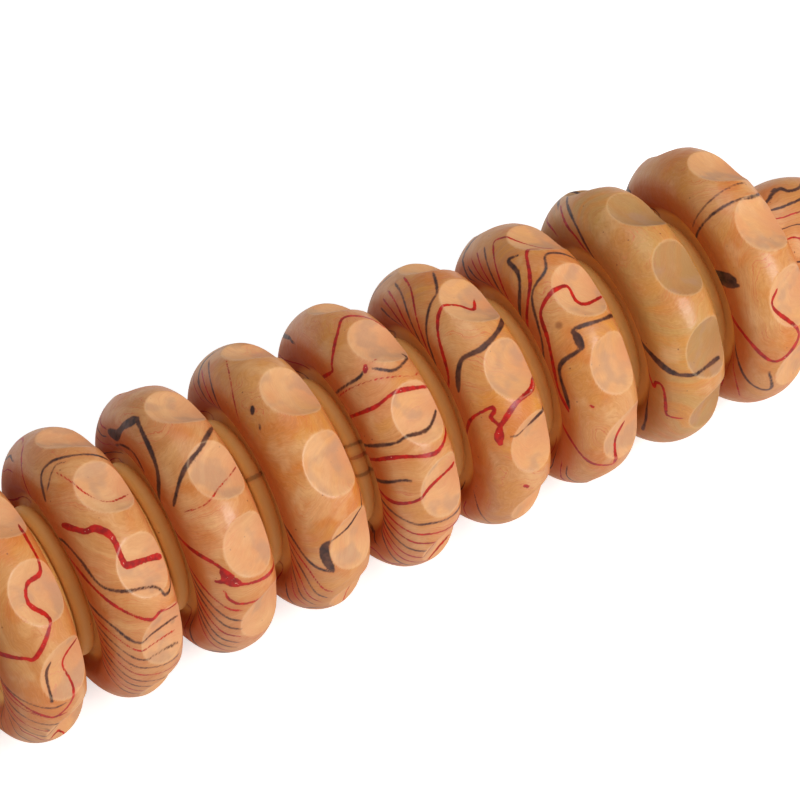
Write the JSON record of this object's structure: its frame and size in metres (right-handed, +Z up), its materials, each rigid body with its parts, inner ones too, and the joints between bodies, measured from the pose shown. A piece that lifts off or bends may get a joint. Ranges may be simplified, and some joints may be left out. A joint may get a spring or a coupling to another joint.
{
  "type": "foot massage roller",
  "caption": "Wooden massage roller stick: scalloped laminated-wood wheels spin freely on a central rod between two turned handles.",
  "frame": {"origin": "centre of the rod, at the middle of the middle wheel", "axes": "+X along the rod towards the right handle, +Z up, +Y away from a person facing it"},
  "size_m": [0.4, 0.055, 0.055],
  "materials": {
    "wheel_wood": "satin lacquered laminated wood, tan with wavy red and dark vein lines",
    "handle_wood": "satin lacquered laminated wood, tan with lengthwise red and dark vein lines",
    "plug_wood": "satin lacquered wood",
    "steel": "zinc-plated steel"
  },
  "bodies": {
    "axle_and_handles": {"axle_rod": "steel", "left_thrust_washer": "steel", "left_handle": "handle_wood", "left_nut_washer": "steel", "left_nut": "steel", "left_end_plug": "plug_wood", "right_thrust_washer": "steel", "right_handle": "handle_wood", "right_nut_washer": "steel", "right_nut": "steel", "right_end_plug": "plug_wood"},
    "wheel_1": {"wheel_1": "wheel_wood"},
    "wheel_2": {"wheel_2": "wheel_wood"},
    "wheel_3": {"wheel_3": "wheel_wood"},
    "wheel_4": {"wheel_4": "wheel_wood"},
    "wheel_5": {"wheel_5": "wheel_wood"},
    "wheel_6": {"wheel_6": "wheel_wood"},
    "wheel_7": {"wheel_7": "wheel_wood"},
    "wheel_8": {"wheel_8": "wheel_wood"},
    "wheel_9": {"wheel_9": "wheel_wood"}
  },
  "joints": [
    {"name": "wheel_1_spin", "type": "hinge", "parent": "axle_and_handles", "child": "wheel_1", "pos_m": [-0.0816, 0, 0], "axis": [1, 0, 0], "continuous": true},
    {"name": "wheel_2_spin", "type": "hinge", "parent": "axle_and_handles", "child": "wheel_2", "pos_m": [-0.0612, 0, 0], "axis": [1, 0, 0], "continuous": true},
    {"name": "wheel_3_spin", "type": "hinge", "parent": "axle_and_handles", "child": "wheel_3", "pos_m": [-0.0408, 0, 0], "axis": [1, 0, 0], "continuous": true},
    {"name": "wheel_4_spin", "type": "hinge", "parent": "axle_and_handles", "child": "wheel_4", "pos_m": [-0.0204, 0, 0], "axis": [1, 0, 0], "continuous": true},
    {"name": "wheel_5_spin", "type": "hinge", "parent": "axle_and_handles", "child": "wheel_5", "pos_m": [0, 0, 0], "axis": [1, 0, 0], "continuous": true},
    {"name": "wheel_6_spin", "type": "hinge", "parent": "axle_and_handles", "child": "wheel_6", "pos_m": [0.0204, 0, 0], "axis": [1, 0, 0], "continuous": true},
    {"name": "wheel_7_spin", "type": "hinge", "parent": "axle_and_handles", "child": "wheel_7", "pos_m": [0.0408, 0, 0], "axis": [1, 0, 0], "continuous": true},
    {"name": "wheel_8_spin", "type": "hinge", "parent": "axle_and_handles", "child": "wheel_8", "pos_m": [0.0612, 0, 0], "axis": [1, 0, 0], "continuous": true},
    {"name": "wheel_9_spin", "type": "hinge", "parent": "axle_and_handles", "child": "wheel_9", "pos_m": [0.0816, 0, 0], "axis": [1, 0, 0], "continuous": true}
  ]
}
